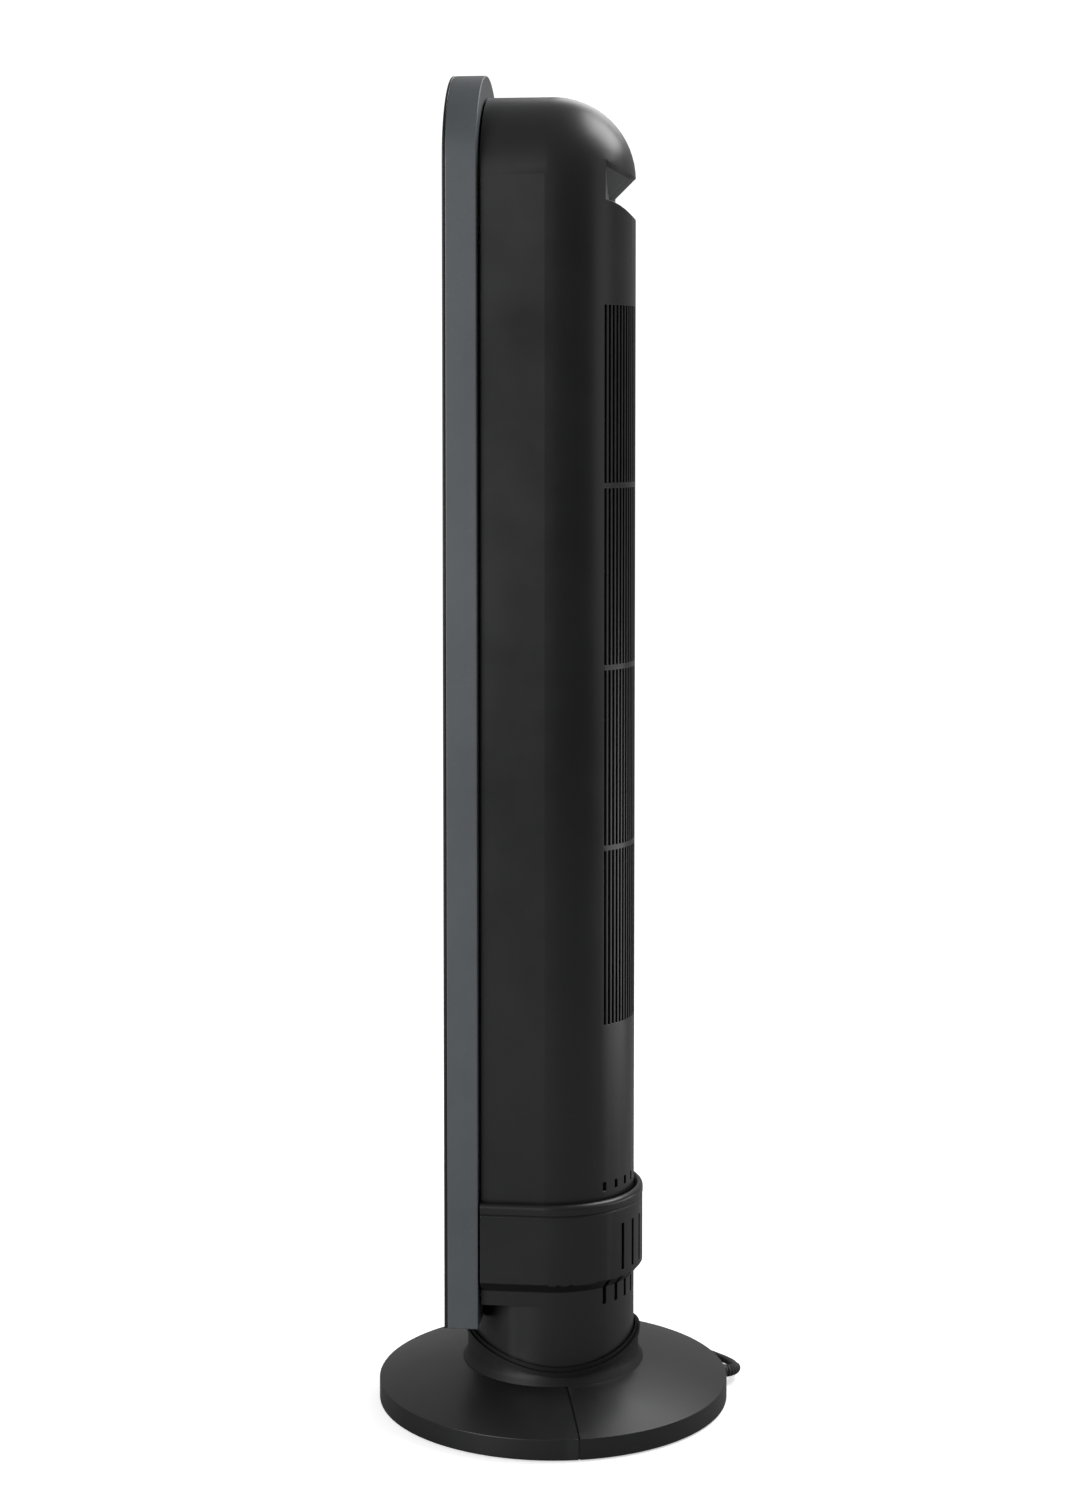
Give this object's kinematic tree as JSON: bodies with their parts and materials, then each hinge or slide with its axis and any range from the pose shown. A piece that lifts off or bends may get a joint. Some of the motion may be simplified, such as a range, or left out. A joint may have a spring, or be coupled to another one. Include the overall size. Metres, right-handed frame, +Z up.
{
  "type": "tower fan",
  "caption": "Upright tower fan with a cross-flow rotor, swinging column, round two-part base, rear handle recess and front control panel.",
  "frame": {"origin": "on the floor, on the vertical swing axis at the centre of the round base", "axes": "+Z up along the swing axis, -Y the way the tower faces and blows, +X to the right seen from the front of the fan looking along +Y"},
  "size_m": [0.4257, 0.2787, 1.016],
  "materials": {
    "base_black": "fine satin black",
    "black_shell": "satin black",
    "board_green": "solder mask",
    "brass_blade": "bright",
    "bronze": "sintered",
    "cord_black": "matte",
    "display": "smoked",
    "gear_plastic": "natural acetal",
    "grey_frame": "satin dark grey",
    "grille_black": "satin black",
    "inner_plastic": "plain",
    "key_grey": "satin grey",
    "motor_steel": "zinc plated",
    "panel_black": "gloss black",
    "rotor_plastic": "plain",
    "rubber": "matte",
    "steel": "bright"
  },
  "bodies": {
    "base": {"base_rear_half": "base_black", "base_front_half": "base_black", "base_collar": "base_black", "base_hub": "inner_plastic", "rubber_feet": "rubber", "base_screws": "steel", "swivel_ring": "gear_plastic", "swing_gear": "gear_plastic", "strain_relief": "cord_black", "power_cord": "cord_black", "cord_coil": "cord_black", "cord_tail": "cord_black", "cord_tie": "rubber", "plug_body": "cord_black", "plug_blades": "brass_blade"},
    "tower": {"lower_housing": "black_shell", "vent_band": "base_black", "rear_housing": "black_shell", "handle_cup": "black_shell", "front_frame": "grey_frame", "front_fascia": "grille_black", "front_grille": "grille_black", "control_panel": "panel_black", "display_window": "display", "control_board": "board_green", "board_components": "inner_plastic", "fan_motor": "motor_steel", "motor_bracket": "inner_plastic", "motor_grommets": "rubber", "motor_screws": "steel", "bearing_bridge": "inner_plastic", "top_bearing": "bronze", "scroll_wall": "inner_plastic", "air_tongue": "inner_plastic", "swing_motor": "motor_steel", "swing_bracket": "inner_plastic"},
    "rotor": {"wheel_segment_1": "rotor_plastic", "wheel_segment_2": "rotor_plastic", "wheel_segment_3": "rotor_plastic", "wheel_segment_4": "rotor_plastic", "wheel_segment_5": "rotor_plastic", "wheel_segment_6": "rotor_plastic", "wheel_end_cap": "rotor_plastic", "drive_hub": "rubber", "rotor_shaft": "steel", "rotor_pin": "steel"},
    "pinion": {"swing_pinion": "gear_plastic"},
    "power_key": {"power_button": "key_grey"},
    "speed_key": {"speed_button": "key_grey"},
    "timer_key": {"timer_button": "key_grey"},
    "swing_key": {"swing_button": "key_grey"}
  },
  "joints": [
    {"name": "tower_swing", "type": "hinge", "parent": "base", "child": "tower", "pos_m": [0, 0, 0.05], "axis": [0, 0, 1], "range_deg": [-20.8, 49.2]},
    {"name": "rotor_spin", "type": "hinge", "parent": "tower", "child": "rotor", "pos_m": [0, 0.006, 0.5], "axis": [0, 0, 1], "continuous": true},
    {"name": "pinion_spin", "type": "hinge", "parent": "tower", "child": "pinion", "pos_m": [0, -0.02635, 0.053], "axis": [0, 0, 1], "range_deg": [-55, 125]},
    {"name": "power_press", "type": "slide", "parent": "tower", "child": "power_key", "axis": [0, 1, 0], "range_m": [0, 0.0012], "stiffness_N_per_m": 250},
    {"name": "speed_press", "type": "slide", "parent": "tower", "child": "speed_key", "axis": [0, 1, 0], "range_m": [0, 0.0012], "stiffness_N_per_m": 250},
    {"name": "timer_press", "type": "slide", "parent": "tower", "child": "timer_key", "axis": [0, 1, 0], "range_m": [0, 0.0012], "stiffness_N_per_m": 250},
    {"name": "swing_press", "type": "slide", "parent": "tower", "child": "swing_key", "axis": [0, 1, 0], "range_m": [0, 0.0012], "stiffness_N_per_m": 250}
  ],
  "couplings": [
    {"joint": "pinion_spin", "follows": "tower_swing", "ratio": 2.5}
  ]
}
